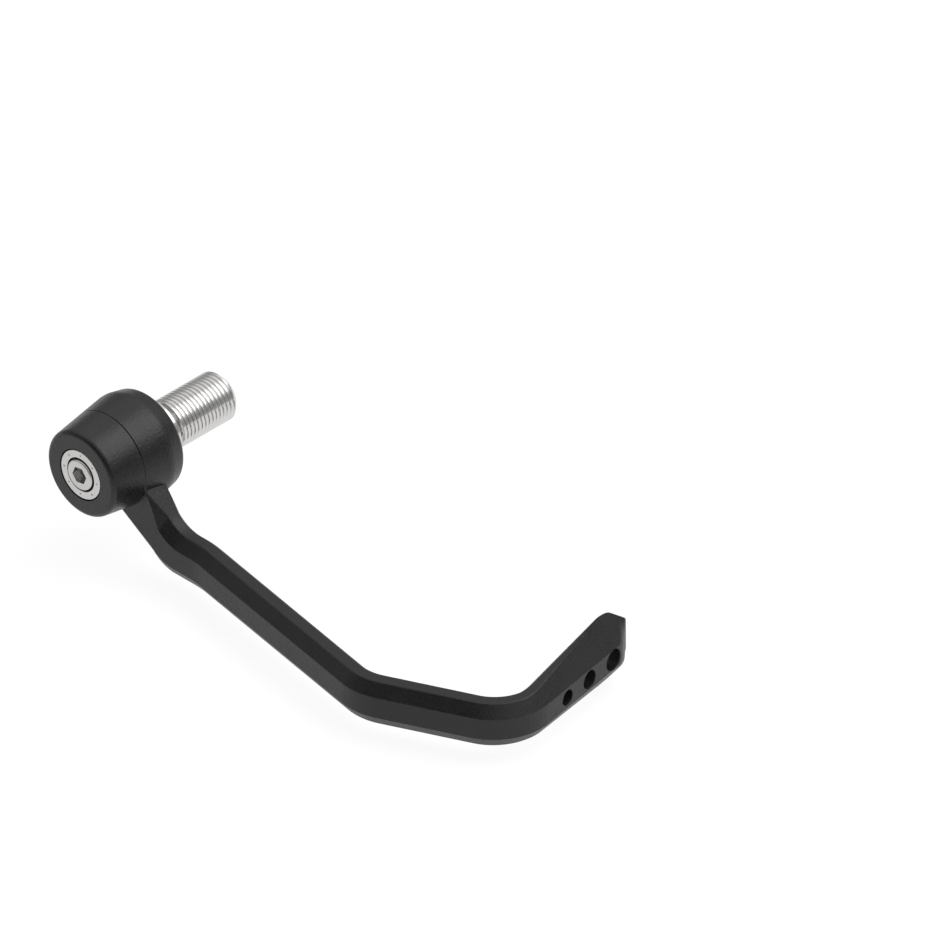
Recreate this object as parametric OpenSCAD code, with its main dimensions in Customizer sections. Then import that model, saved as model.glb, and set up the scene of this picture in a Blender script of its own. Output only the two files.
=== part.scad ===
// Brake lever guard for the right-hand end of a motorbike handlebar.
// The origin is on the stud's axis, at the collar's bar-side face.
// +X points outboard, +Y forward and +Z up. All sizes are in millimetres.

/* [Bar stud] */
// Diameter over the thread that screws into the handlebar's end insert
stud_d = 16; // [14:0.5:18]
// Full-diameter length of the stud, from the collar to the tip's chamfer
stud_len = 24.4; // [18:0.1:40]
// Length of the chamfer at the tip
tip_len = 2; // [1:0.1:3]
// Diameter of the flat end of the tip
tip_d = 12; // [8:0.5:13]
// Diameter of the collar that stops against the bar
collar_d = 20.4; // [19:0.1:22]
// Thickness of the collar
collar_t = 2.6; // [1.5:0.1:3.2]
// Bevel round both faces of the collar
collar_edge = 0.45; // [0.2:0.05:0.7]
// Diameter of the shoulder behind the collar
shoulder_d = 16.8; // [15:0.1:17.6]
// Diameter of the neck that carries the housing and the blade's eye
neck_d = 12; // [10.5:0.1:13.5]
// How far the neck stops short of the seam, so that the screw can clamp
neck_relief = 0.6; // [0.3:0.1:1.5]
// Depth of the tapped hole past the collar's bar-side face
tap_past = 4; // [3.5:0.1:8]

/* [Housing] */
// Distance from the collar's bar-side face to the housing's inner rim
rim_x = 4.4; // [4:0.1:6]
// Width of the inner half, from its rim to the seam
hub_w = 16.6; // [15.6:0.1:20]
// Width of the outer half, from the seam to the end face
cap_w = 11.9; // [11:0.1:15]
// Diameter at the outer end face, before its edge is rounded
face_d = 28; // [24:0.5:30]
// Largest diameter of the housing
crest_d = 34.1; // [32:0.1:40]
// Distance from the inner rim to the largest diameter
crest_at = 6.5; // [4:0.1:8]
// Diameter at the inner rim, before its edge is rounded
rim_d = 31.4; // [29:0.1:32]
// Radius of the outer edge
face_round = 1.7; // [0.5:0.1:2.5]
// Radius of the inner rim's edge
rim_round = 2; // [0.5:0.1:2.6]
// Depth to which the inner face dishes in towards the bush
dish = 0.7; // [0.2:0.1:1.5]
// Small bevel on both sides of the seam
seam_bevel = 0.2; // [0.05:0.05:0.5]
// Thickness of the web between the bush and the blade's eye
web_t = 3; // [2:0.1:5]

/* [Inner bush] */
// Outside diameter of the bush
bush_d = 22.8; // [22:0.1:24]
// Bore of the bush
bush_bore = 20; // [18:0.1:20.4]
// How far the bush's nose stands out of the dished face
bush_proud = 1; // [0.4:0.1:1.4]

/* [Screw and cup washer] */
// Outside diameter of the cup washer
washer_d = 16.2; // [15.2:0.1:18]
// Bore of the cup washer round the screw's head
washer_bore = 11.2; // [10.6:0.1:12]
// Thickness of the cup washer's floor
washer_floor = 1.6; // [1:0.1:3]
// Gap all round the cup washer in the outer half
washer_gap = 0.35; // [0.1:0.05:0.6]
// Number of small dimples round the cup washer's face
dimple_count = 8; // [4:1:12]
// Radius of the circle that the dimples lie on
dimple_at = 6.8; // [6.4:0.05:7.2]
// Diameter of each dimple
dimple_d = 0.7; // [0.3:0.05:0.9]
// Thread diameter of the cap screw
screw_d = 6; // [5:0.5:6.5]
// Length of the cap screw under its head
screw_len = 30; // [28:1:30]
// Diameter of the screw's head
head_d = 10; // [9:0.1:10.4]
// Height of the screw's head
head_h = 6; // [4:0.1:6.5]
// How far the head stands proud of the end face
head_proud = 0.4; // [0:0.1:0.8]
// Depth of the cup washer's face below the end face
washer_recess = 0.1; // [0:0.05:0.4]
// Bevel round the top of the head
head_edge = 0.5; // [0.2:0.05:1]
// Width across the flats of the hexagon socket
socket_af = 5; // [4:0.5:6]
// Depth of the hexagon socket
socket_depth = 3; // [2:0.1:4]
// Turn of the hexagon socket, as the screw was tightened
socket_turn = 38.5; // [0:0.5:60]

/* [Blade section] */
// Height of the blade
blade_h = 15.2; // [12:0.1:18]
// Width of the flat on the top and bottom edges
top_w = 3.75; // [3:0.05:5]
// Width of the bevel that leads to the outer flat
bevel_w = 2.8; // [1.5:0.1:3.5]
// Height of that bevel
bevel_h = 4; // [2.5:0.1:5]
// Bevel on the edges that face the lever
inner_bevel = 1.5; // [0.5:0.1:2]

/* [Blade path] */
// Slope of the arm that drops from the housing
drop_angle = 45; // [35:1:55]
// Distance from the stud's axis to the arm's upper face
arm_top = 7.6; // [6:0.1:8]
// Height of the arm, square to its slope
arm_h = 15.2; // [12:0.1:16]
// Drop from the stud's axis to the blade's upper edge
drop = 15.4; // [13:0.1:20]
// Radius of the bend between the arm and the blade
drop_r = 13; // [8:0.5:14]
// Length of the stretch that runs straight forward
run_len = 10.3; // [9.5:0.1:20]
// Length of the long outward stretch
reach_len = 81.1; // [60:0.1:120]
// Outward angle of that stretch
reach_angle = 10; // [4:0.5:14]
// Radius where the long stretch starts
reach_r = 35; // [25:1:50]
// Length of the stretch that turns back in
return_len = 45.3; // [40:0.1:70]
// Inward angle of that stretch
return_angle = 25; // [15:1:40]
// Radius of the outer corner, on the lever's side
return_r = 15; // [10:0.5:20]

/* [Blade pad] */
// Length of the pad in front of the lever, from the unrounded corner to the tip
pad_len = 55.8; // [50:0.1:70]
// How far the pad leans back past square to the stud
pad_angle = 10; // [0:1:20]
// Radius of the corner that leads to the pad
pad_r = 14; // [10:0.5:18]
// How much thinner the pad is than the rest of the blade
pad_slim = 0.6; // [0:0.1:1]
// Distance from the unrounded corner to where the pad starts to widen
flare_at = 5.4; // [3:0.1:10]
// Angle at which each edge of the pad spreads
flare_angle = 7.4; // [3:0.1:7.5]
// Length of the pad's narrowing end
nose_len = 8.1; // [6:0.1:12]
// Distance from the tip to where the outer flat ends
slope_len = 7.2; // [5:0.1:9]
// Height of the flat end
nose_h = 13; // [9:0.1:14]
// Thickness of the flat end outside the lever-side edge
nose_t = 1.9; // [1:0.1:3]
// Radius of the pad's two widest corners
corner_r = 5; // [1:0.1:6]
// Radius of the corners at the tip
nose_r = 1.6; // [0.5:0.1:2.5]
// Radius of the edges beside the outer flat
edge_r = 0.5; // [0.2:0.1:1]
// Radius of those edges where they run out at the tip
tip_r = 5; // [2:0.5:6]
// Diameter of the pad's first hole, nearest the tip
hole_d = 7; // [5:0.1:7]
// How much smaller each of the next holes is
hole_step = 1; // [0:0.1:1.2]
// Number of holes
hole_count = 3; // [1:1:3]
// Distance from the tip to the first hole
hole_at = 12.1; // [11.5:0.1:14]
// Width of the web between two holes
hole_web = 5.8; // [3:0.1:6.5]
// Bevel round both mouths of each hole
hole_edge = 0.2; // [0.1:0.05:0.5]

/* [Blade eye] */
// Diameter of the eye that the housing clamps
eye_d = 22; // [19:0.5:23]

/* [Fits] */
// Clearance of pressed and clamped pieces, on the radius
press_gap = 0.05; // [0.02:0.01:0.1]
// Clearance of pieces that slide together, on the radius
slide_gap = 0.1; // [0.05:0.01:0.2]

/* [Hidden] */
$fn = 96;

steel = [0.72, 0.71, 0.69];
matte_black = [0.1, 0.1, 0.11];

// Stations along the stud's axis
seam_x = rim_x + hub_w;
face_x = seam_x + cap_w;
crest_x = rim_x + crest_at;
blade_out = top_w + bevel_w;
blade_t = inner_bevel + blade_out;
pad_out = blade_out - pad_slim;
pocket_x = seam_x - blade_t;
web_x = pocket_x - web_t;
dish_x = rim_x + dish;
head_x = face_x + head_proud - head_h;
washer_x = head_x - washer_floor;
screw_tip = head_x - screw_len;
screw_bore = screw_d + 2 * slide_gap;
cut = 1;

// Radii of the housing where the seam crosses its cone
cone = (crest_d - face_d) / 2 / (face_x - crest_x);
function cone_r(x) = face_d / 2 + cone * (face_x - x);

// Key points of the blade, on its lever-side upper edge
edge_x = seam_x - blade_out;
arm_bottom = arm_top - arm_h;
blade_low = drop + blade_h;
mid_z = -drop - blade_h / 2;
half_h = blade_h / 2;
function arm_y(level, z) = (level - z * cos(drop_angle)) / sin(drop_angle);
top_y = arm_y(arm_top, -drop);
low_y = arm_y(arm_bottom, -blade_low);
pad_head = -90 - pad_angle;
function along(a) = [sin(a), cos(a)];
function across(a) = [cos(a), -sin(a)];
p_run = [edge_x, top_y + run_len];
p_reach = p_run + reach_len * along(reach_angle);
p_pad = p_reach + return_len * along(-return_angle);

// Outline of half the pad from the side, as points of distance and half height
flare = tan(flare_angle);
corner_s = pad_len - nose_len;
corner_h = half_h + flare * (corner_s - flare_at);
bevel_slope = bevel_w / bevel_h;
flat_h = half_h - bevel_h;
thin_edge = 0.2;

// A point list in which the corner b between a and c becomes an arc of radius r
function unit(v) = v / norm(v);
function rounded(a, b, c, r, n) =
    let (u = unit(a - b), w = unit(c - b),
        half = acos(u * w) / 2,
        centre = b + unit(u + w) * r / sin(half),
        start = b + u * r / tan(half),
        from = atan2(start.y - centre.y, start.x - centre.x),
        turn = 180 - 2 * half,
        side = sign(u.y * w.x - u.x * w.y))
    [for (i = [0:n]) centre + r * [cos(from + side * turn * i / n), sin(from + side * turn * i / n)]];

// Turned solid about the X axis from points of radius and station
module turned(points) rotate([0, 90, 0]) rotate_extrude() polygon(points);

// Round bar along the X axis
module bar_x(d, from, to) translate([from, 0, 0]) rotate([0, 90, 0]) cylinder(d = d, h = to - from);

module bar_stud() {
    neck_x = seam_x - neck_relief;
    collar_r = collar_d / 2;
    color(steel) difference() {
        turned([
            [0, -stud_len - tip_len], [tip_d / 2, -stud_len - tip_len], [stud_d / 2, -stud_len],
            [stud_d / 2, 0], [collar_r - collar_edge, 0], [collar_r, collar_edge],
            [collar_r, collar_t - collar_edge], [collar_r - collar_edge, collar_t],
            [shoulder_d / 2, collar_t], [shoulder_d / 2, web_x],
            [neck_d / 2, web_x], [neck_d / 2, neck_x], [0, neck_x]
        ]);
        bar_x(screw_bore, -tap_past, neck_x + cut);
    }
}

// Bush in the dished face, with a conical nose
module inner_bush() {
    nose_x = dish_x - bush_proud;
    rim_w = 0.3;
    color(steel) turned([
        [bush_bore / 2, nose_x], [bush_bore / 2 + rim_w, nose_x], [bush_d / 2, dish_x],
        [bush_d / 2, web_x], [bush_bore / 2, web_x]
    ]);
}

// Inner half of the housing, with a pocket for the blade's eye and a slot for its arm
module inner_hub() {
    seam_r = cone_r(seam_x);
    dish_r = bush_d / 2 + press_gap;
    color(matte_black) difference() {
        turned(concat(
            [[dish_r, dish_x]],
            rounded([dish_r, dish_x], [rim_d / 2, rim_x], [crest_d / 2, crest_x], rim_round, 8),
            rounded([rim_d / 2, rim_x], [crest_d / 2, crest_x], [seam_r, seam_x], crest_at / 2, 4),
            [
                [seam_r + cone * seam_bevel, seam_x - seam_bevel], [seam_r - seam_bevel, seam_x],
                [neck_d / 2 + slide_gap, seam_x], [neck_d / 2 + slide_gap, web_x], [dish_r, web_x]
            ]
        ));
        rotate([-drop_angle, 0, 0]) {
            bar_x(eye_d + 2 * slide_gap, pocket_x, seam_x + cut);
            translate([pocket_x, 0, arm_bottom - slide_gap])
                cube([blade_t + cut, crest_d, arm_h + 2 * slide_gap]);
        }
    }
}

// Outer half of the housing, with a plain end face
module outer_cap() {
    seam_r = cone_r(seam_x);
    pocket_r = washer_d / 2 + washer_gap;
    color(matte_black) turned(concat(
        [[screw_bore / 2 + slide_gap, seam_x], [seam_r - seam_bevel, seam_x],
            [seam_r - cone * seam_bevel, seam_x + seam_bevel]],
        rounded([seam_r, seam_x], [face_d / 2, face_x], [pocket_r, face_x], face_round, 8),
        [[pocket_r, face_x], [pocket_r, washer_x], [screw_bore / 2 + slide_gap, washer_x]]
    ));
}

// Bright cup that the screw's head sinks into
module cup_washer() {
    top_x = face_x - washer_recess;
    edge = 0.2;
    color(steel) difference() {
        turned([
            [screw_bore / 2, washer_x], [washer_d / 2, washer_x], [washer_d / 2, top_x - edge],
            [washer_d / 2 - edge, top_x], [washer_bore / 2 + edge, top_x],
            [washer_bore / 2, top_x - edge], [washer_bore / 2, head_x], [screw_bore / 2, head_x]
        ]);
        for (i = [0:dimple_count - 1])
            rotate([i * 360 / dimple_count, 0, 0]) translate([top_x, dimple_at, 0])
                sphere(d = dimple_d, $fn = 16);
    }
}

// Socket-head cap screw
module cap_screw() {
    top_x = head_x + head_h;
    socket_d = socket_af / cos(30);
    color(steel) difference() {
        turned([
            [0, screw_tip], [screw_d / 2 - head_edge, screw_tip], [screw_d / 2, screw_tip + head_edge],
            [screw_d / 2, head_x], [head_d / 2, head_x], [head_d / 2, top_x - head_edge],
            [head_d / 2 - head_edge, top_x], [0, top_x]
        ]);
        translate([top_x - socket_depth, 0, 0]) rotate([socket_turn, 0, 0]) rotate([0, 90, 0])
            cylinder(d = socket_d, h = socket_depth + cut, $fn = 6);
    }
}

// Largest radius that a bevel of this width and height has room for at its outer edge
function widest_r(w, h) =
    let (slant = norm([w, h]), margin = 0.9)
    margin * slant * (slant + h) / w;

// Section of the blade, as points of distance outward and height above the middle. h is half
// the height, full the distance to the outer flat and out what the tip's slope leaves of it.
// r rounds the edges beside the outer flat. wide, high and low say how much there is of the
// bevels' width and of their height above and below.
function section(h, full, out, inner, r, wide = 1, high = 1, low = 1) =
    let (face_h = min(flat_h + (full - out) / bevel_slope, h - thin_edge),
        rim = full - bevel_slope * (h - flat_h),
        cut_h = max(0, (thin_edge - rim) / (1 + bevel_slope)),
        edge = min(out - thin_edge, rim + bevel_slope * cut_h),
        top = out - (out - edge) * wide,
        rim_h = h - cut_h,
        up = h - (h - face_h) * high,
        down = h - (h - face_h) * low,
        start = -cut_h - inner * (1 - wide))
    concat(
        [[start, rim_h], [top, rim_h]],
        rounded([top, rim_h], [out, up], [out, -down], min(r, widest_r(out - top, rim_h - up)), 3),
        rounded([out, up], [out, -down], [top, -rim_h], min(r, widest_r(out - top, rim_h - down)), 3),
        [[top, -rim_h], [start, -rim_h], [-inner, inner * low - h], [-inner, h - inner * high]]
    );

// Ring in the sloping arm and its bend, between an upper and a lower point of Y and Z
function arm_ring(up, down, r = edge_r, wide = 1, high = 1, low = 1) =
    [for (q = section(half_h, blade_out, blade_out, inner_bevel, r, wide, high, low))
        let (p = up + (down - up) * (half_h - q.y) / blade_h)
        [edge_x + q.x, p.x, p.y]];

// Upright ring at point p of the plan, looking along heading a
function plan_ring(p, a, h, full, out, inner, r = edge_r) =
    [for (q = section(h, full, out, inner, r))
        let (w = p + q.x * across(a))
        [w.x, w.y, mid_z + q.y]];

// The pad's half height at a distance from its unrounded corner
function pad_h(s) = half_h + flare * max(0, s - flare_at);
function pad_s(p) = (p - p_pad) * along(pad_head);

// Rings round a bend in the plan at point v, from heading a to heading b
function bend(v, a, b, r, n) =
    let (side = sign(b - a),
        start = v - r * tan(abs(b - a) / 2) * along(a),
        centre = start + side * r * across(a))
    [for (i = [0:n])
        let (t = a + (b - a) * i / n,
            p = centre - side * r * across(t),
            s = v == p_pad ? pad_s(p) : 0,
            full = v == p_pad ? blade_out - pad_slim * i / n : blade_out)
        plan_ring(p, t, pad_h(s), full, full, inner_bevel)];

// Points on the arm's faces: level is square to the slope, s runs down it
function arm_point(s, level) =
    [s * cos(drop_angle) + level * sin(drop_angle), level * cos(drop_angle) - s * sin(drop_angle)];

module blade_body() {
    bend_len = drop_r * tan(drop_angle / 2);
    top_s = (top_y * cos(drop_angle) + drop * sin(drop_angle)) - bend_len;
    low_s = (low_y * cos(drop_angle) + blade_low * sin(drop_angle)) - bend_len;
    leave_s = sqrt(pow(cone_r(seam_x), 2) - pow(arm_top, 2));
    slight = 0.07;
    runout = 6;
    steps = 9;
    arm = [
        arm_ring(arm_point(eye_d / 5, arm_top), arm_point(eye_d / 5, arm_bottom),
            edge_r * slight, slight, slight, slight),
        for (i = [0:runout - 1])
            let (t = i / runout,
                grown = slight + (1 - slight) * t,
                up = arm_point(leave_s + (top_s - leave_s) * t, arm_top),
                down = arm_point(leave_s + (low_s - leave_s) * t, arm_bottom))
            arm_ring(up, down, edge_r * grown, grown, slight + (1 - slight) * (1 - cos(90 * t)), grown),
        for (i = [0:steps])
            let (t = drop_angle * (1 - i / steps),
                up = [top_y + bend_len - drop_r * sin(t), -drop + drop_r * (1 - cos(t))],
                down = [low_y + bend_len - drop_r * sin(t), -blade_low + drop_r * (1 - cos(t))])
            arm_ring(up, down)
    ];
    // The pad's end, taken from its rounded side outline
    tip = [pad_len, nose_h / 2];
    outline = concat(
        rounded([0, half_h - flare * flare_at], [corner_s, corner_h], tip, corner_r, 6),
        rounded([corner_s, corner_h], tip, [pad_len, 0], nose_r, 5)
    );
    nose_slope = (pad_out - nose_t) / slope_len;
    nose_bevel = 1;
    // The slope starts gently, over this distance on both sides of the flat's end
    ease = 0.8;
    pad = [for (q = outline)
        let (d = q.x - pad_len + slope_len,
            k = abs(d) < ease ? pow(d + ease, 2) / (4 * ease) : max(0, d),
            thin = max(0, q.x - corner_s) / nose_len)
        plan_ring(p_pad + q.x * along(pad_head), pad_head, q.y, pad_out, pad_out - k * nose_slope,
            inner_bevel - thin * nose_bevel, edge_r + (tip_r - edge_r) * max(0, d + ease) / (slope_len + ease))];
    rings = concat(
        arm,
        bend(p_run, 0, reach_angle, reach_r, 6),
        bend(p_reach, reach_angle, -return_angle, return_r, 10),
        bend(p_pad, -return_angle, pad_head, pad_r, 18),
        pad
    );
    sides = len(rings[0]);
    last = len(rings) - 1;
    polyhedron(
        points = [for (r = rings) each r],
        faces = [
            [for (i = [0:sides - 1]) i],
            [for (i = [0:sides - 1]) last * sides + sides - 1 - i],
            for (j = [0:last - 1]) for (i = [0:sides - 1])
                let (a = j * sides + i, b = j * sides + (i + 1) % sides)
                each [[a, a + sides, b + sides], [a, b + sides, b]]
        ]
    );
}

// Cutter for one hole of the pad, widening at both mouths
module pad_hole(r) rotate_extrude() polygon([
    [0, -inner_bevel - cut], [r + hole_edge + cut, -inner_bevel - cut], [r, hole_edge - inner_bevel],
    [r, pad_out - hole_edge], [r + hole_edge + cut, pad_out + cut], [0, pad_out + cut]
]);

// Guard blade: one moulding, from the clamped eye to the pad in front of the lever
module guard_blade() {
    color(matte_black) difference() {
        union() {
            blade_body();
            bar_x(eye_d, pocket_x, seam_x);
        }
        bar_x(neck_d + 2 * slide_gap, pocket_x - cut, seam_x + cut);
        translate([p_pad.x, p_pad.y, mid_z]) rotate([0, 0, 90 - pad_head])
            for (i = [0:hole_count - 1])
                translate([pad_len - hole_at - i * (hole_web + hole_d - i * hole_step / 2), 0, 0])
                    rotate([90, 0, 0]) pad_hole((hole_d - i * hole_step) / 2);
    }
}

bar_stud();
inner_bush();
inner_hub();
guard_blade();
outer_cap();
cup_washer();
cap_screw();
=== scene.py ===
import bpy
import bmesh
import math
from mathutils import Matrix, Vector


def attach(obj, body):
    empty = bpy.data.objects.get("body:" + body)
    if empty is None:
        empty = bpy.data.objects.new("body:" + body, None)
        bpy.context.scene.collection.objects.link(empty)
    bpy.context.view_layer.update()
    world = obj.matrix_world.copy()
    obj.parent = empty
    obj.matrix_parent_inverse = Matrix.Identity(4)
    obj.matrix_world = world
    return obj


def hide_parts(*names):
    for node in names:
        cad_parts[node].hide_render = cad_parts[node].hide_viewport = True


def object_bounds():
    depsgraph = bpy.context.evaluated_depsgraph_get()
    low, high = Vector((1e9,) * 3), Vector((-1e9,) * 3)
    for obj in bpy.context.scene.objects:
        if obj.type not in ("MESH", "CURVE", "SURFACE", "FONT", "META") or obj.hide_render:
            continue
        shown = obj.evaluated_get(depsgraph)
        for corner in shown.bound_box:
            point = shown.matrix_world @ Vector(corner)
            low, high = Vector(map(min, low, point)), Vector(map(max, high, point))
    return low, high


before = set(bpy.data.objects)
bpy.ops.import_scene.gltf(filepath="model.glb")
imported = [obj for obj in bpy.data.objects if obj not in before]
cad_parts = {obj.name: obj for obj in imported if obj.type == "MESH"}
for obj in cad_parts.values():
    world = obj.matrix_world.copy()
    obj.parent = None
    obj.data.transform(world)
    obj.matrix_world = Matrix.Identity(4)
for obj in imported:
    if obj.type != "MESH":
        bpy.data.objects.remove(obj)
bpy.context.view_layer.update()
scene = bpy.context.scene
mm = 0.001
nearlyNothing = 0.0005 * mm
print("frame loaded:", ", ".join(sorted(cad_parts)))


# Shader wiring

class Socket:
    def __init__(self, graph, link):
        self.graph, self.link = graph, link

    def sibling(self, output):
        return Socket(self.graph, self.link.node.outputs[output])

    def __add__(self, other):
        return self.graph.maths("ADD", self, other)

    def __radd__(self, other):
        return self.graph.maths("ADD", other, self)

    def __sub__(self, other):
        return self.graph.maths("SUBTRACT", self, other)

    def __rsub__(self, other):
        return self.graph.maths("SUBTRACT", other, self)

    def __mul__(self, other):
        return self.graph.maths("MULTIPLY", self, other)


class Graph:
    def __init__(self, owner):
        owner.use_nodes = True
        self.tree = owner.node_tree
        self.tree.nodes.clear()

    def feed(self, socket, value):
        if isinstance(value, Socket):
            self.tree.links.new(value.link, socket)
        else:
            socket.default_value = value

    def node(self, kind, settings=None, inputs=None, output=0):
        made = self.tree.nodes.new(kind)
        for key, value in (settings or {}).items():
            if key == "stops":
                ramp = made.color_ramp
                while len(ramp.elements) < len(value):
                    ramp.elements.new(1)
                for stop, (place, shade) in zip(ramp.elements, value):
                    stop.position, stop.color = place, (*shade, 1)
            else:
                setattr(made, key, value)
        for key, value in (inputs or {}).items():
            self.feed(made.inputs[key], value)
        return Socket(self, made.outputs[output]) if made.outputs else made

    def maths(self, operation, *values):
        return self.node("ShaderNodeMath", {"operation": operation}, dict(enumerate(values)))

    def blend(self, amount, first, second):
        return self.node("ShaderNodeMix", {"data_type": "RGBA"}, {0: amount, 6: first, 7: second}, 2)

    def ease(self, value, low, high, start=0, end=1):
        return self.node("ShaderNodeMapRange", {"interpolation_type": "SMOOTHSTEP"},
                         {0: value, 1: low, 2: high, 3: start, 4: end})

    def noise(self, place, scale, detail, rough):
        return self.node("ShaderNodeTexNoise", None,
                         {"Vector": place, "Scale": scale, "Detail": detail, "Roughness": rough})

    def bump(self, height, distance):
        return self.node("ShaderNodeBump", None, {"Height": height, "Distance": distance, "Strength": 1.0})

    def surface(self, shader):
        self.node("ShaderNodeOutputMaterial", None, {"Surface": shader})


def newFinish(name):
    material = bpy.data.materials.new(name)
    graph = Graph(material)
    place = graph.node("ShaderNodeTexCoord", None, None, "Object")
    return material, graph, place


def grey(level, warm=0.0):
    return (level * (1 + warm), level, level * (1 - warm), 1)


# Finishes

# Moulded black plastic: a pebbled grain with paler specks, and broad cloudy patches
moulding = {
    "grainDetail": 2, "grainRough": 0.55, "grainShare": 0.7, "grainGloss": 0.4,
    "speckFrom": 0.35, "speckTo": 0.75, "speck": 1.5,
    "pebbleSize": 1.6, "pebbleSmooth": 0.6, "pebbleShare": 0.5,
    "cloudSize": 9, "cloudDetail": 3, "cloudRough": 0.6, "cloudFrom": 0.3, "cloudTo": 0.7, "cloudGloss": 0.14,
    "dark": 0.8, "pale": 1.2,
}


def mouldedBlack(name, level, grainSize, grainDepth, roughness, sheen):
    m = moulding
    material, graph, place = newFinish(name)
    grain = graph.noise(place, 1 / (grainSize * mm), m["grainDetail"], m["grainRough"])
    pebble = graph.node("ShaderNodeTexVoronoi", {"feature": "SMOOTH_F1"}, {
        "Vector": place, "Scale": 1 / (grainSize * m["pebbleSize"] * mm), "Smoothness": m["pebbleSmooth"]})
    cloud = graph.noise(place, 1 / (m["cloudSize"] * mm), m["cloudDetail"], m["cloudRough"])
    height = grain * m["grainShare"] + pebble * m["pebbleShare"]
    patches = graph.ease(cloud, m["cloudFrom"], m["cloudTo"])
    colour = graph.blend(patches, grey(level * m["dark"]), grey(level * m["pale"]))
    specks = graph.ease(grain, m["speckFrom"], m["speckTo"])
    colour = graph.blend(specks, colour, grey(level * m["speck"]))
    shader = graph.node("ShaderNodeBsdfPrincipled", None, {
        "Base Color": colour,
        "Specular IOR Level": sheen,
        "Roughness": roughness + (cloud - 0.5) * m["cloudGloss"] + (grain - 0.5) * m["grainGloss"],
        "Normal": graph.bump(height, grainDepth * mm),
    })
    graph.surface(shader)
    return material


# Turned stainless steel: lathe rings about the X axis, faint brushing and dull patches
turning = {
    "ringDetail": 4, "ringRough": 0.7, "ringGloss": 0.12,
    "cloudSize": 4, "cloudDetail": 3, "cloudRough": 0.6, "cloudFrom": 0.25, "cloudTo": 0.75,
    "cloudGloss": 0.06, "dull": 0.94, "dullWarmth": 0.012, "warmth": 0.008,
}


def turnedSteel(name, level, roughness, ringPitch, ringDepth, faceRings=False):
    t = turning
    material, graph, place = newFinish(name)
    alongX = graph.node("ShaderNodeSeparateXYZ", None, {"Vector": place}, 0)
    y, z = alongX.sibling(1), alongX.sibling(2)
    radius = graph.maths("SQRT", y * y + z * z)
    across = radius if faceRings else alongX
    line = graph.node("ShaderNodeCombineXYZ", None, {0: across * (1 / (ringPitch * mm))})
    rings = graph.noise(line, 1, t["ringDetail"], t["ringRough"])
    cloud = graph.noise(place, 1 / (t["cloudSize"] * mm), t["cloudDetail"], t["cloudRough"])
    patches = graph.ease(cloud, t["cloudFrom"], t["cloudTo"])
    colour = graph.blend(patches, grey(level * t["dull"], t["dullWarmth"]), grey(level, t["warmth"]))
    shader = graph.node("ShaderNodeBsdfPrincipled", None, {
        "Base Color": colour,
        "Metallic": 1.0,
        "Roughness": roughness + (rings - 0.5) * t["ringGloss"] + (cloud - 0.5) * t["cloudGloss"],
        "Normal": graph.bump(rings, ringDepth * mm),
    })
    graph.surface(shader)
    return material


# Mesh helpers

making = {"smoothAngle": 30, "sharpAngle": 28, "cornerSteps": 7, "softSteps": 2, "roundProfile": 0.5,
          "normalWeight": 60}


def finishPiece(name, bm, material, nodes, smoothAngle=making["smoothAngle"]):
    mesh = bpy.data.meshes.new(name)
    for face in bm.faces:
        face.smooth = True
    for edge in bm.edges:
        edge.smooth = not (edge.is_manifold and edge.calc_face_angle() > math.radians(smoothAngle))
    bm.to_mesh(mesh)
    bm.free()
    piece = bpy.data.objects.new(name, mesh)
    scene.collection.objects.link(piece)
    mesh.materials.append(material)
    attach(piece, "root")
    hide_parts(*nodes)
    return piece


def cleanUp(bm):
    bmesh.ops.remove_doubles(bm, verts=bm.verts, dist=nearlyNothing)
    bmesh.ops.recalc_face_normals(bm, faces=bm.faces)


# A profile of (station, radius, rounding) is rounded in the flat and then spun about the X axis
def spinProfile(bm, points, steps, closed=False):
    verts = [bm.verts.new((x * mm, 0, r * mm)) for x, r, _ in points]
    pairs = list(zip(verts, verts[1:])) + ([(verts[-1], verts[0])] if closed else [])
    for a, b in pairs:
        bm.edges.new((a, b))
    flat = [Vector((x, r)) for x, r, _ in points]
    for i, (_, _, rounding) in enumerate(points):
        if rounding:
            before, after = flat[i - 1] - flat[i], flat[(i + 1) % len(flat)] - flat[i]
            reach = rounding / math.tan(before.angle(after) / 2)
            bmesh.ops.bevel(bm, geom=[verts[i]], affect="VERTICES", offset=reach * mm, material=-1,
                            segments=making["cornerSteps"], profile=making["roundProfile"])
    loose = [v for v in bm.verts if not v.link_faces]
    edges = [e for e in bm.edges if not e.link_faces]
    bmesh.ops.spin(bm, geom=loose + edges, cent=(0, 0, 0), axis=(1, 0, 0), dvec=(0, 0, 0),
                   angle=math.tau, steps=steps, use_merge=True, use_duplicate=False)
    cleanUp(bm)


def softEdges(bm, width, keep=None):
    sharp = math.radians(making["sharpAngle"])
    edges = [e for e in bm.edges
             if e.is_manifold and e.calc_face_angle() > sharp and (keep is None or keep(e))]
    bmesh.ops.bevel(bm, geom=edges, affect="EDGES", offset=width * mm, segments=making["softSteps"],
                    profile=making["roundProfile"], material=-1, clamp_overlap=True, harden_normals=False)


def evenShading(piece):
    weighted = piece.modifiers.new("evenShading", "WEIGHTED_NORMAL")
    weighted.keep_sharp = True
    weighted.weight = making["normalWeight"]


def cutWith(piece, cutter, name):
    cut = piece.modifiers.new(name, "BOOLEAN")
    cut.operation, cut.solver, cut.object = "DIFFERENCE", "EXACT", cutter
    bpy.context.view_layer.update()
    result = bpy.data.meshes.new_from_object(piece.evaluated_get(bpy.context.evaluated_depsgraph_get()))
    piece.modifiers.remove(cut)
    piece.data = result
    bpy.data.objects.remove(cutter)


def looseObject(name, bm):
    mesh = bpy.data.meshes.new(name)
    bm.to_mesh(mesh)
    bm.free()
    made = bpy.data.objects.new(name, mesh)
    scene.collection.objects.link(made)
    return made


# The stud with its thread

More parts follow.
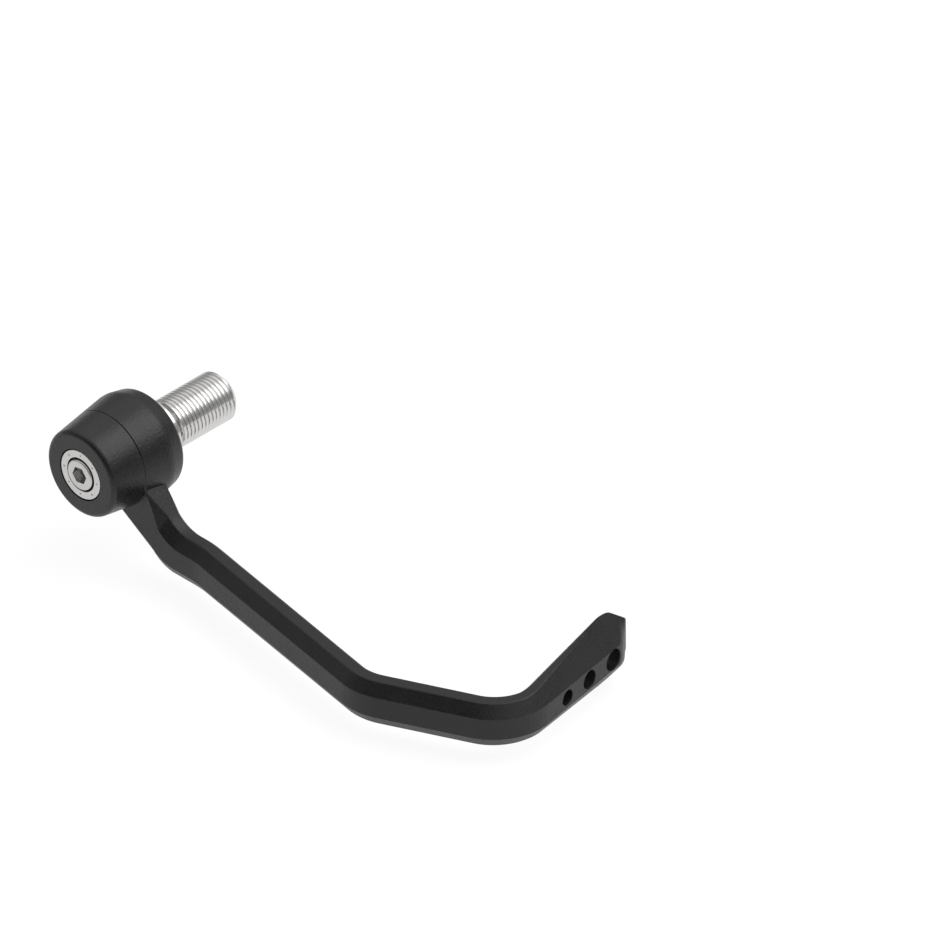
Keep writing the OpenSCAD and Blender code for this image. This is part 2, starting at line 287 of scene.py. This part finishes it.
stud = {
    "threadD": 16, "pitch": 1.5, "depth": 0.43, "length": 24.4, "tip": 2, "tipD": 12,
    "reliefD": 13.4, "relief": 2.3, "reliefTaper": 3, "landD": 15.9, "land": 1.1, "landTaper": 0.15,
    "collarD": 20.4, "collarT": 2.6, "collarEdge": 0.45, "collarSoft": 0.12,
    "shoulderD": 16.8, "shoulderTo": 9.95, "neckD": 12, "neckTo": 20.4, "boreD": 6.2, "boreTo": -4,
    "steps": 96, "seamMerge": 0.002, "rimReach": 0.01, "smoothAngle": 34,
}


def buildStud(material):
    s = stud
    bm = bmesh.new()
    major, minor = s["threadD"] / 2, s["threadD"] / 2 - s["depth"]
    start, end = -s["length"] - s["tip"], -s["relief"]
    turns = math.ceil((end - start) / s["pitch"]) + 2
    # one pitch of the thread's outline, as shares of the pitch and of the depth
    tooth = [(0, 0.1), (0.03, 0), (0.07, 0), (0.1, 0.1), (0.2, 0.6), (0.25, 0.88), (0.3, 0.98), (0.36, 1),
             (0.76, 1), (0.82, 0.98), (0.87, 0.88), (0.92, 0.6), (1, 0.1)]
    first = start - s["pitch"]
    row = [bm.verts.new(((first + p * s["pitch"]) * mm, 0, (minor + d * s["depth"]) * mm)) for p, d in tooth]
    edges = [bm.edges.new(pair) for pair in zip(row, row[1:])]
    bmesh.ops.spin(bm, geom=row + edges, cent=(0, 0, 0), axis=(1, 0, 0),
                   dvec=(s["pitch"] * mm / s["steps"], 0, 0), angle=math.tau * turns,
                   steps=s["steps"] * turns, use_merge=False, use_duplicate=False)
    bmesh.ops.remove_doubles(bm, verts=bm.verts, dist=s["seamMerge"] * mm)
    for x, side in ((start, -1), (end, 1)):
        bmesh.ops.bisect_plane(bm, geom=bm.verts[:] + bm.edges[:] + bm.faces[:], dist=nearlyNothing,
                               plane_co=(x * mm, 0, 0), plane_no=(side, 0, 0), clear_outer=True)

    # the tip's cone and the chamfer beside the relief groove both cut into the thread
    def widest(x):
        cone = s["tipD"] / 2 + (x - start) * (major - s["tipD"] / 2) / s["tip"]
        groove = s["reliefD"] / 2 + (end - x) * s["reliefTaper"]
        return min(major, cone, groove)

    def setRadius(vert, radius):
        flat = Vector((0, vert.co.y, vert.co.z)).normalized() * radius * mm
        vert.co = (vert.co.x, flat.y, flat.z)

    for vert in bm.verts:
        limit = widest(vert.co.x / mm)
        if math.hypot(vert.co.y, vert.co.z) / mm > limit:
            setRadius(vert, limit)

    def rimAt(x):
        reach = s["rimReach"] * mm
        return [e for e in bm.edges if e.is_boundary and all(abs(v.co.x - x * mm) < reach for v in e.verts)]

    tipRim, rim = rimAt(start), rimAt(end)
    bmesh.ops.contextual_create(bm, geom=tipRim)
    edge = s["collarEdge"]
    rings = [
        (-s["land"] - s["landTaper"], s["reliefD"] / 2), (-s["land"], s["landD"] / 2), (0, s["landD"] / 2),
        (0, s["collarD"] / 2 - edge), (edge, s["collarD"] / 2),
        (s["collarT"] - edge, s["collarD"] / 2), (s["collarT"], s["collarD"] / 2 - edge),
        (s["collarT"], s["shoulderD"] / 2), (s["shoulderTo"], s["shoulderD"] / 2),
        (s["shoulderTo"], s["neckD"] / 2), (s["neckTo"], s["neckD"] / 2), (s["neckTo"], s["boreD"] / 2),
        (s["boreTo"], s["boreD"] / 2),
    ]
    for x, radius in rings:
        grown = bmesh.ops.extrude_edge_only(bm, edges=rim)["geom"]
        for vert in (g for g in grown if isinstance(g, bmesh.types.BMVert)):
            vert.co.x = x * mm
            setRadius(vert, radius)
        rim = [g for g in grown if isinstance(g, bmesh.types.BMEdge)
               and all(abs(v.co.x - x * mm) < nearlyNothing for v in g.verts) and g.is_boundary]
    bmesh.ops.contextual_create(bm, geom=rim)
    cleanUp(bm)
    collarRims = {round(r, 3) for r in (s["collarD"] / 2, s["collarD"] / 2 - edge)}

    def onCollar(vert):
        return vert.co.x > -nearlyNothing and round(math.hypot(vert.co.y, vert.co.z) / mm, 3) in collarRims

    softEdges(bm, s["collarSoft"], lambda e: all(onCollar(v) for v in e.verts))
    piece = finishPiece("threadedStud", bm, material, ["bar_stud"], s["smoothAngle"])
    evenShading(piece)
    print("stud:", len(piece.data.polygons), "faces")


# The bush

bush = {"outerD": 22.8, "bore": 20, "noseFrom": 4.1, "noseTo": 5.1, "to": 9.95, "rim": 0.3,
        "soft": 0.08, "steps": 128}


def buildBush(material):
    b = bush
    bm = bmesh.new()
    spinProfile(bm, [
        (b["noseFrom"], b["bore"] / 2, 0), (b["noseFrom"], b["bore"] / 2 + b["rim"], 0),
        (b["noseTo"], b["outerD"] / 2, 0), (b["to"], b["outerD"] / 2, 0), (b["to"], b["bore"] / 2, 0),
    ], b["steps"], closed=True)
    softEdges(bm, b["soft"])
    evenShading(finishPiece("innerBush", bm, material, ["inner_bush"]))
    print("bush built")


# The housing

housing = {
    "rim": 4.4, "seam": 21.0, "face": 32.9, "rimD": 31.4, "rimRound": 2, "crestAt": 10.9, "crestD": 34.1,
    "crestRound": 6.5, "faceD": 28, "faceRound": 1.7, "dish": 5.1, "bushR": 11.45, "web": 9.95, "neckR": 6.1,
    "seamBevel": 0.2, "pocketR": 11.1, "pocketFrom": 12.95, "pocketSteps": 96, "cutPast": 3,
    "slotHalf": 7.7, "slotLength": 30, "slope": 45, "washerR": 8.45, "washerRound": 0.15,
    "washerFloor": 25.7, "screwR": 3.2, "steps": 160,
}


def coneRadius(x):
    h = housing
    return h["faceD"] / 2 + (h["crestD"] - h["faceD"]) / 2 / (h["face"] - h["crestAt"]) * (h["face"] - x)


def buildHousing(material):
    h = housing
    seamR, b = coneRadius(h["seam"]), h["seamBevel"]
    bm = bmesh.new()
    spinProfile(bm, [
        (h["dish"], h["bushR"], 0), (h["rim"], h["rimD"] / 2, h["rimRound"]),
        (h["crestAt"], h["crestD"] / 2, h["crestRound"]),
        (h["seam"] - b, coneRadius(h["seam"] - b), 0), (h["seam"], seamR - b, 0),
        (h["seam"], h["neckR"], 0), (h["web"], h["neckR"], 0), (h["web"], h["bushR"], 0),
    ], h["steps"], closed=True)
    hub = finishPiece("innerHub", bm, material, ["inner_hub"])
    # the pocket for the blade's eye, and the slot that its arm leaves by
    bm = bmesh.new()
    cutFrom, cutTo = h["pocketFrom"], h["seam"] + h["cutPast"]
    pocket = [(cutFrom, 0, 0), (cutFrom, h["pocketR"], 0), (cutTo, h["pocketR"], 0), (cutTo, 0, 0)]
    spinProfile(bm, pocket, h["pocketSteps"])
    cutWith(hub, looseObject("pocketCutter", bm), "pocket")
    bm = bmesh.new()
    bmesh.ops.create_cube(bm, size=1)
    length, depth = h["slotLength"], cutTo - cutFrom
    bmesh.ops.scale(bm, vec=(depth * mm, length * mm, 2 * h["slotHalf"] * mm), verts=bm.verts)
    bmesh.ops.translate(bm, vec=((cutFrom + depth / 2) * mm, length / 2 * mm, 0), verts=bm.verts)
    tilt = Matrix.Rotation(math.radians(-h["slope"]), 3, "X")
    bmesh.ops.rotate(bm, cent=(0, 0, 0), matrix=tilt, verts=bm.verts)
    cutWith(hub, looseObject("slotCutter", bm), "slot")
    evenShading(hub)

    bm = bmesh.new()
    spinProfile(bm, [
        (h["seam"], h["screwR"], 0), (h["seam"], seamR - b, 0), (h["seam"] + b, coneRadius(h["seam"] + b), 0),
        (h["face"], h["faceD"] / 2, h["faceRound"]), (h["face"], h["washerR"], h["washerRound"]),
        (h["washerFloor"], h["washerR"], 0), (h["washerFloor"], h["screwR"], 0),
    ], h["steps"], closed=True)
    evenShading(finishPiece("outerCap", bm, material, ["outer_cap"]))
    print("housing built")


# The cup washer

washer = {"outerD": 16.2, "bore": 11.2, "face": 32.8, "floor": 25.7, "floorTo": 27.3, "hole": 6, "edge": 0.2,
          "steps": 128, "dimples": 8, "dimpleAt": 6.8, "dimpleD": 0.66, "dimpleSides": 16, "dimpleRings": 10}


def buildWasher(material):
    w = washer
    bm = bmesh.new()
    spinProfile(bm, [
        (w["floor"], w["hole"] / 2, 0), (w["floor"], w["outerD"] / 2, 0),
        (w["face"], w["outerD"] / 2, w["edge"]), (w["face"], w["bore"] / 2, w["edge"]),
        (w["floorTo"], w["bore"] / 2, 0), (w["floorTo"], w["hole"] / 2, 0),
    ], w["steps"], closed=True)
    ring = finishPiece("cupWasher", bm, material, ["cup_washer"])
    bm = bmesh.new()
    for i in range(w["dimples"]):
        around = math.tau * i / w["dimples"]
        ball = bmesh.ops.create_uvsphere(bm, u_segments=w["dimpleSides"], v_segments=w["dimpleRings"],
                                         radius=w["dimpleD"] / 2 * mm)
        place = Vector((w["face"], math.cos(around) * w["dimpleAt"], math.sin(around) * w["dimpleAt"]))
        bmesh.ops.translate(bm, verts=ball["verts"], vec=place * mm)
    cutWith(ring, looseObject("dimpleCutter", bm), "dimples")
    evenShading(ring)
    print("washer built")


# The cap screw

screw = {"shankD": 6, "tip": -2.7, "seat": 27.3, "top": 33.3, "headD": 10, "edge": 0.5, "socketAF": 5,
         "socketDepth": 3, "socketTurn": 38.5, "drillPoint": 0.9, "mouth": 0.06, "steps": 96}


def buildScrew(material):
    s = screw
    bm = bmesh.new()
    wall, floor = s["socketAF"] / 2, s["top"] - s["socketDepth"]
    shankR, headR = s["shankD"] / 2, s["headD"] / 2
    spinProfile(bm, [
        (s["tip"], 0, 0), (s["tip"], shankR - s["edge"], 0), (s["tip"] + s["edge"], shankR, 0),
        (s["seat"], shankR, 0), (s["seat"], headR, 0), (s["top"], headR, s["edge"]),
        (s["top"], wall + s["mouth"], 0), (s["top"] - s["mouth"], wall, 0),
        (floor, wall, 0), (floor - s["drillPoint"], 0, 0),
    ], s["steps"])
    # the socket's wall and mouth are pressed from round to six flats
    halfFlat = math.pi / 6
    widest, deepest = (wall + s["mouth"]) * mm + nearlyNothing, floor * mm - nearlyNothing
    for vert in bm.verts:
        if math.hypot(vert.co.y, vert.co.z) < widest and vert.co.x > deepest:
            turned = math.atan2(vert.co.z, vert.co.y) - math.radians(s["socketTurn"])
            fromMiddle = (turned + halfFlat) % (2 * halfFlat) - halfFlat
            vert.co.y /= math.cos(fromMiddle)
            vert.co.z /= math.cos(fromMiddle)
    evenShading(finishPiece("capScrew", bm, material, ["cap_screw"]))
    print("screw built")


# The guard blade

blade = {
    "height": 15.2, "topWidth": 3.75, "bevelWidth": 2.8, "bevelHeight": 4, "innerBevel": 1.5,
    "edgeRadius": 0.5, "thinEdge": 0.2, "skin": 0.015,
    "slope": 45, "armTop": 7.6, "armHeight": 15.2, "drop": 15.4, "dropRadius": 13, "run": 10.3,
    "slight": 0.07, "reach": 81.1, "reachAngle": 10, "reachRadius": 35, "back": 45.3, "backAngle": 25,
    "backRadius": 15, "pad": 55.8, "padAngle": 10, "padRadius": 14, "padSlim": 0.6, "flareAt": 5.4,
    "flareAngle": 7.4, "nose": 8.1, "slopeLength": 7.2, "noseHeight": 13, "noseThick": 1.9, "noseBevel": 1,
    "cornerRadius": 8, "noseRadius": 1.6, "tipRadius": 10, "tipRoll": 1.7, "rollHigh": 1.2, "rollHaste": 1.3,
    "ease": 1.6, "holeD": 7, "holeStep": 1, "holes": 3, "holeAt": 12.1, "holeWeb": 5.8, "holeEdge": 0.2,
    "rootAt": 4.4, "soft": 0.4, "softFrom": 14, "softShare": 0.42, "softSteps": 3, "bevelShare": 0.9,
    "smoothAngle": 40, "cutPast": 1,
}
# how many rings or points each stretch has
bladeSteps = {"round": 5, "arm": 12, "drop": 18, "run": 12, "reach": 20, "pad": 36, "corner": 18, "end": 10,
              "nose": 8, "hole": 64}


def heading(angle):
    return Vector((math.sin(math.radians(angle)), math.cos(math.radians(angle))))


def outward(angle):
    return Vector((math.cos(math.radians(angle)), -math.sin(math.radians(angle))))


def roundCorner(a, b, c, radius, count):
    u, w = (a - b).normalized(), (c - b).normalized()
    half = u.angle(w) / 2
    centre = b + (u + w).normalized() * radius / math.sin(half)
    start = b + u * radius / math.tan(half) - centre
    turn = math.copysign(math.pi - 2 * half, u.y * w.x - u.x * w.y)
    out = []
    for i in range(count + 1):
        t = turn * i / count
        out.append(centre + Vector((start.x * math.cos(t) - start.y * math.sin(t),
                                    start.x * math.sin(t) + start.y * math.cos(t))))
    return out


def buildBlade(material):
    b, steps = blade, bladeSteps

    def cos(angle):
        return math.cos(math.radians(angle))

    def sin(angle):
        return math.sin(math.radians(angle))

    def tan(angle):
        return math.tan(math.radians(angle))

    out = b["topWidth"] + b["bevelWidth"] - b["skin"]
    padOut = out - b["padSlim"]
    edgeX = housing["seam"] - out - b["skin"]
    half = b["height"] / 2
    flatHalf = half - b["bevelHeight"]
    steep = b["bevelWidth"] / b["bevelHeight"]
    armBottom = b["armTop"] - b["armHeight"]
    low = b["drop"] + b["height"]
    midZ = -b["drop"] - half
    topY = (b["armTop"] + b["drop"] * cos(b["slope"])) / sin(b["slope"])
    lowY = (armBottom + low * cos(b["slope"])) / sin(b["slope"])
    padHead = -90 - b["padAngle"]
    runEnd = Vector((edgeX, topY + b["run"]))
    reachEnd = runEnd + heading(b["reachAngle"]) * b["reach"]
    padStart = reachEnd + heading(-b["backAngle"]) * b["back"]

    # outline of the blade's section, as distance outward and height above its middle; full is the
    # distance to the outer flat, and face what the tip's slope leaves of it; roll rounds the lower edge
    def section(high, full, face, inner, radius, wide=1.0, upper=1.0, lower=1.0, roll=b["thinEdge"]):
        slopeHigh = flatHalf + (full - face) / steep
        rim = full - steep * (high - flatHalf)
        trim = max(0, (b["thinEdge"] - rim) / (1 + steep))
        rimHigh = high - trim
        up = high - (high - min(slopeHigh, high - b["thinEdge"])) * upper
        down = high - (high - min(slopeHigh, high - roll * b["rollHigh"])) * lower
        top, bottom = (face - max(gap, face - rim - steep * trim) * wide for gap in (b["thinEdge"], roll))
        start = -trim - inner * (1 - wide)
        a, c = Vector((top, rimHigh)), Vector((face, up))
        d, e = Vector((face, -down)), Vector((bottom, -rimHigh))

        def fit(bevel):
            across, tall = abs(bevel.x), abs(bevel.y)
            return min(radius, b["bevelShare"] * bevel.length * (bevel.length + tall) / across)

        return [Vector((start, rimHigh)), a, *roundCorner(a, c, d, fit(c - a), steps["round"]),
                *roundCorner(c, d, e, fit(d - e), steps["round"]), e, Vector((start, -rimHigh)),
                Vector((-inner, inner * lower - high)), Vector((-inner, high - inner * upper))]

    def armRing(up, down, grown=1.0, upper=1.0):
        ring = []
        for q in section(half, out, out, b["innerBevel"], b["edgeRadius"] * grown, grown, upper, grown):
            p = up + (down - up) * (half - q.y) / b["height"]
            ring.append(Vector((edgeX + q.x, p.x, p.y)) * mm)
        return ring

    def planRing(p, angle, high, full, face, inner, radius, roll=b["thinEdge"]):
        ring = []
        for q in section(high, full, face, inner, radius, roll=roll):
            w = p + outward(angle) * q.x
            ring.append(Vector((w.x, w.y, midZ + q.y)) * mm)
        return ring

    def armPoint(s, level):
        along, up = Vector((cos(b["slope"]), -sin(b["slope"]))), Vector((sin(b["slope"]), cos(b["slope"])))
        return along * s + up * level

    def padHigh(s):
        return half + tan(b["flareAngle"]) * max(0, s - b["flareAt"])

    def bend(corner, a, c, radius, count):
        side = math.copysign(1, c - a)
        centre = corner - heading(a) * radius * tan(abs(c - a) / 2) + outward(a) * radius * side
        rings = []
        for i in range(count + 1):
            t = a + (c - a) * i / count
            p = centre - outward(t) * radius * side
            toPad = corner is padStart
            s = (p - padStart).dot(heading(padHead)) if toPad else 0
            full = out - b["padSlim"] * i / count if toPad else out
            rings.append(planRing(p, t, padHigh(s), full, full, b["innerBevel"], b["edgeRadius"]))
        return rings

    bendLength = b["dropRadius"] * tan(b["slope"] / 2)
    topS = topY * cos(b["slope"]) + b["drop"] * sin(b["slope"]) - bendLength
    lowS = lowY * cos(b["slope"]) + low * sin(b["slope"]) - bendLength
    leaveS = math.sqrt(coneRadius(housing["seam"]) ** 2 - b["armTop"] ** 2)
    slight = b["slight"]
    root = armPoint(b["rootAt"], b["armTop"]), armPoint(b["rootAt"], armBottom)
    rings = [armRing(*root, slight, slight)]
    for i in range(steps["arm"]):
        t = i / steps["arm"]
        rings.append(armRing(armPoint(leaveS + (topS - leaveS) * t, b["armTop"]),
                             armPoint(leaveS + (lowS - leaveS) * t, armBottom),
                             slight + (1 - slight) * t, slight + (1 - slight) * (1 - cos(90 * t))))
    for i in range(steps["drop"] + 1):
        t = b["slope"] * (1 - i / steps["drop"])
        r = b["dropRadius"]
        rings.append(armRing(Vector((topY + bendLength - r * sin(t), -b["drop"] + r * (1 - cos(t)))),
                             Vector((lowY + bendLength - r * sin(t), -low + r * (1 - cos(t))))))
    rings += bend(runEnd, 0, b["reachAngle"], b["reachRadius"], steps["run"])
    rings += bend(reachEnd, b["reachAngle"], -b["backAngle"], b["backRadius"], steps["reach"])
    rings += bend(padStart, -b["backAngle"], padHead, b["padRadius"], steps["pad"])

    # the pad widens, turns round its widest corners and slopes to a flat end
    cornerS = b["pad"] - b["nose"]
    cornerHigh = padHigh(cornerS)
    tip = Vector((b["pad"], b["noseHeight"] / 2))
    widest = Vector((cornerS, cornerHigh))
    flare = Vector((0, half - tan(b["flareAngle"]) * b["flareAt"]))
    outline = roundCorner(flare, widest, tip, b["cornerRadius"], steps["corner"])
    end = roundCorner(widest, tip, Vector((b["pad"], 0)), b["noseRadius"], steps["nose"])
    outline += [outline[-1].lerp(end[0], i / steps["end"]) for i in range(1, steps["end"])] + end
    fall = (padOut - b["noseThick"]) / b["slopeLength"]
    ease = b["ease"]
    for s, high in outline:
        down = s - b["pad"] + b["slopeLength"]
        eased = (down + ease) ** 2 / (4 * ease) if abs(down) < ease else max(0, down)
        thin = max(0, s - cornerS) / b["nose"]
        grown = max(0, down + ease) / (b["slopeLength"] + ease)
        roll = b["tipRoll"] * min(1, b["rollHaste"] * grown)
        rings.append(planRing(padStart + heading(padHead) * s, padHead, high, padOut, padOut - eased * fall,
                              b["innerBevel"] - thin * b["noseBevel"],
                              b["edgeRadius"] + b["tipRadius"] * 4 * grown * (1 - grown),
                              max(b["thinEdge"], roll)))

    # the first ring is drawn and each next one is pulled out of it
    bm = bmesh.new()
    verts = [bm.verts.new(p) for p in rings[0]]
    sides = len(verts)
    edges = [bm.edges.new((verts[i], verts[(i + 1) % sides])) for i in range(sides)]
    bmesh.ops.contextual_create(bm, geom=edges)
    for ring in rings[1:]:
        grown = bmesh.ops.extrude_edge_only(bm, edges=edges)["geom"]
        fresh = {g for g in grown if isinstance(g, bmesh.types.BMVert)}
        pulled = [next(e.other_vert(v) for e in v.link_edges if e.other_vert(v) in fresh) for v in verts]
        for vert, place in zip(pulled, ring):
            vert.co = place
        verts = pulled
        edges = [bm.edges.get((verts[i], verts[(i + 1) % sides])) for i in range(sides)]
    bmesh.ops.contextual_create(bm, geom=edges)
    bmesh.ops.recalc_face_normals(bm, faces=bm.faces)

    # every sharp edge is softened as far as the narrower face beside it allows
    weights = bm.edges.layers.float.new("bevel_weight_edge")
    for e in bm.edges:
        if e.is_manifold and e.calc_face_angle() > math.radians(b["softFrom"]):
            room = min(f.calc_area() for f in e.link_faces) / e.calc_length()
            e[weights] = min(1, b["softShare"] * room / (b["soft"] * mm))
    blank = looseObject("bladeBlank", bm)
    rounded = blank.modifiers.new("soft", "BEVEL")
    rounded.limit_method, rounded.width, rounded.segments = "WEIGHT", b["soft"] * mm, b["softSteps"]
    rounded.use_clamp_overlap = False
    bpy.context.view_layer.update()
    soft = bpy.data.meshes.new_from_object(blank.evaluated_get(bpy.context.evaluated_depsgraph_get()))
    bpy.data.objects.remove(blank)

    bm = bmesh.new()
    bm.from_mesh(soft)
    piece = finishPiece("guardBlade", bm, material, ["guard_blade"], b["smoothAngle"])
    for i in range(b["holes"]):
        radius = (b["holeD"] - i * b["holeStep"]) / 2
        s = b["pad"] - b["holeAt"] - i * (b["holeWeb"] + b["holeD"] - i * b["holeStep"] / 2)
        centre = padStart + heading(padHead) * s
        edge, past = b["holeEdge"], b["cutPast"]
        near, far, wide = -b["innerBevel"] - past, padOut + past, radius + edge + past
        profile = [(near, 0), (near, wide), (edge - b["innerBevel"], radius), (padOut - edge, radius),
                   (far, wide), (far, 0)]
        bm = bmesh.new()
        spinProfile(bm, [(x, r, 0) for x, r in profile], steps["hole"])
        facing = outward(padHead)
        bmesh.ops.rotate(bm, cent=(0, 0, 0), verts=bm.verts,
                         matrix=Matrix.Rotation(math.atan2(facing.y, facing.x), 3, "Z"))
        bmesh.ops.translate(bm, verts=bm.verts, vec=Vector((centre.x, centre.y, midZ)) * mm)
        cutWith(piece, looseObject("holeCutter", bm), "hole")
    evenShading(piece)
    print("blade:", len(piece.data.polygons), "faces")


# All the pieces

steels = {
    "threadSteel": {"level": 0.72, "roughness": 0.17, "ringPitch": 0.22, "ringDepth": 0.002},
    "bushSteel": {"level": 0.68, "roughness": 0.3, "ringPitch": 0.25, "ringDepth": 0.004, "faceRings": True},
    "washerSteel": {"level": 0.68, "roughness": 0.34, "ringPitch": 0.2, "ringDepth": 0.003,
                    "faceRings": True},
    "screwSteel": {"level": 0.64, "roughness": 0.3, "ringPitch": 0.25, "ringDepth": 0.003, "faceRings": True},
}
blacks = {
    "housingBlack": {"level": 0.0085, "grainSize": 0.6, "grainDepth": 0.08, "roughness": 0.36, "sheen": 0.5},
    "bladeBlack": {"level": 0.0085, "grainSize": 0.5, "grainDepth": 0.1, "roughness": 0.44, "sheen": 0.48},
}
finishes = {name: turnedSteel(name, **look) for name, look in steels.items()}
finishes.update({name: mouldedBlack(name, **look) for name, look in blacks.items()})

buildStud(finishes["threadSteel"])
buildBush(finishes["bushSteel"])
buildHousing(finishes["housingBlack"])
buildWasher(finishes["washerSteel"])
buildScrew(finishes["screwSteel"])
buildBlade(finishes["bladeBlack"])


# The studio

studio = {
    "side": 0.32, "overhead": 0.6, "overheadFrom": 0.3, "overheadTo": 0.75,
    "softboxFrom": (-0.4, 0.36, 0.84), "softbox": 1.4, "softboxEdge": 0.86, "softboxCore": 0.95,
    "dimTowards": (1, 0.15, 0.3), "dimFrom": 0.58, "dimTo": 0.9, "dimDepth": 0.87,
    "floorSeen": 1.12, "floorMirrored": 0.96, "floorDim": 0.45, "floorDimFrom": 0.03, "floorDimTo": 0.3,
    "floorShare": 0.8, "floorGrey": (0.8, 0.8, 0.8, 1), "floorGap": 0.4, "floorSize": 6.0,
    "floorForward": 0.08,
}
white = (1, 1, 1, 1)

# a softbox and a bright overhead, an even light from the sides and a dim side towards the outer end
world = bpy.data.worlds.new("studio")
scene.world = world
sky = Graph(world)
isCamera = sky.node("ShaderNodeLightPath", None, None, "Is Camera Ray")
isThrough = isCamera.sibling("Is Transmission Ray")
direction = sky.node("ShaderNodeTexCoord", None, None, "Generated")


def towards(place):
    return sky.node("ShaderNodeVectorMath", {"operation": "DOT_PRODUCT"},
                    {0: direction, 1: Vector(place).normalized()}, "Value")


overhead = sky.ease(towards((0, 0, 1)), studio["overheadFrom"], studio["overheadTo"], 0, studio["overhead"])
softbox = sky.ease(towards(studio["softboxFrom"]), studio["softboxEdge"], studio["softboxCore"],
                   0, studio["softbox"])
dim = sky.ease(towards(studio["dimTowards"]), studio["dimFrom"], studio["dimTo"], 0, studio["dimDepth"])
lighting = (studio["side"] + overhead + softbox) * (1 - dim)
seen = sky.maths("MAXIMUM", isCamera, isThrough)
around = sky.node("ShaderNodeBackground", None, {"Color": white, "Strength": seen + (1 - seen) * lighting})
sky.node("ShaderNodeOutputWorld", None, {"Surface": around})

# the floor is white to the eye and keeps the shadow; seen in reflections it glows, with painted shade that
# dims it towards +X
floorMaterial = bpy.data.materials.new("paleFloor")
ground = Graph(floorMaterial)
isCamera = ground.node("ShaderNodeLightPath", None, None, "Is Camera Ray")
isGlossy, isThrough = isCamera.sibling("Is Glossy Ray"), isCamera.sibling("Is Transmission Ray")
seen = ground.maths("MAXIMUM", isCamera, isThrough)
spot = ground.node("ShaderNodeTexCoord", None, None, "Object")
floorX = ground.node("ShaderNodeSeparateXYZ", None, {0: spot}, 0)
# painted shade: the floor's glow in reflections fades from floorMirrored to floorDim towards +X
mirrored = ground.ease(floorX, studio["floorDimFrom"], studio["floorDimTo"],
                       studio["floorMirrored"], studio["floorDim"])
lit = ground.node("ShaderNodeBsdfDiffuse", None, {"Color": studio["floorGrey"]})
glow = ground.node("ShaderNodeEmission", None, {
    "Color": white, "Strength": seen * studio["floorSeen"] + isGlossy * mirrored})
ground.surface(ground.node("ShaderNodeMixShader", None, {
    0: ground.maths("MAXIMUM", seen, isGlossy) * studio["floorShare"], 1: lit, 2: glow}))

low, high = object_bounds()
bm = bmesh.new()
bmesh.ops.create_grid(bm, x_segments=1, y_segments=1, size=studio["floorSize"] / 2)
bmesh.ops.translate(bm, vec=(0, studio["floorForward"], low.z - studio["floorGap"] * mm), verts=bm.verts)
floor = looseObject("studioFloor", bm)
floor.data.materials.append(floorMaterial)

# a lamp where the world has its softbox, for the shadow
lamp = {"size": 0.5, "power": 0.8, "distance": 0.7}
light = bpy.data.lights.new("keySoftbox", "AREA")
light.shape, light.size, light.energy = "SQUARE", lamp["size"], lamp["power"]
holder = bpy.data.objects.new("keySoftbox", light)
scene.collection.objects.link(holder)
away = Vector(studio["softboxFrom"]).normalized()
holder.location = (low + high) / 2 + away * lamp["distance"]
holder.rotation_euler = away.to_track_quat("Z", "Y").to_euler()
holder.visible_glossy = False  # the world already shows the softbox in the metal

# the photograph's view: looking equally down all three axes, without perspective
view = {"pixelsPerMm": 3.38, "imageWidth": 950, "centreFromFace": 116.8, "distance": 1.0}
camera = bpy.data.objects.new("camera", bpy.data.cameras.new("camera"))
scene.collection.objects.link(camera)
scene.camera = camera
toCamera = Vector((1, 1, 1)).normalized()
right = Vector((-1, 1, 0)).normalized()
camera.data.type = "ORTHO"
camera.data.ortho_scale = view["imageWidth"] / view["pixelsPerMm"] * mm
faceCentre = Vector((housing["face"], 0, 0)) * mm
camera.location = faceCentre + right * view["centreFromFace"] * mm + toCamera * view["distance"]
camera.rotation_euler = toCamera.to_track_quat("Z", "Y").to_euler()
scene.view_settings.view_transform = "Standard"
print("studio set")
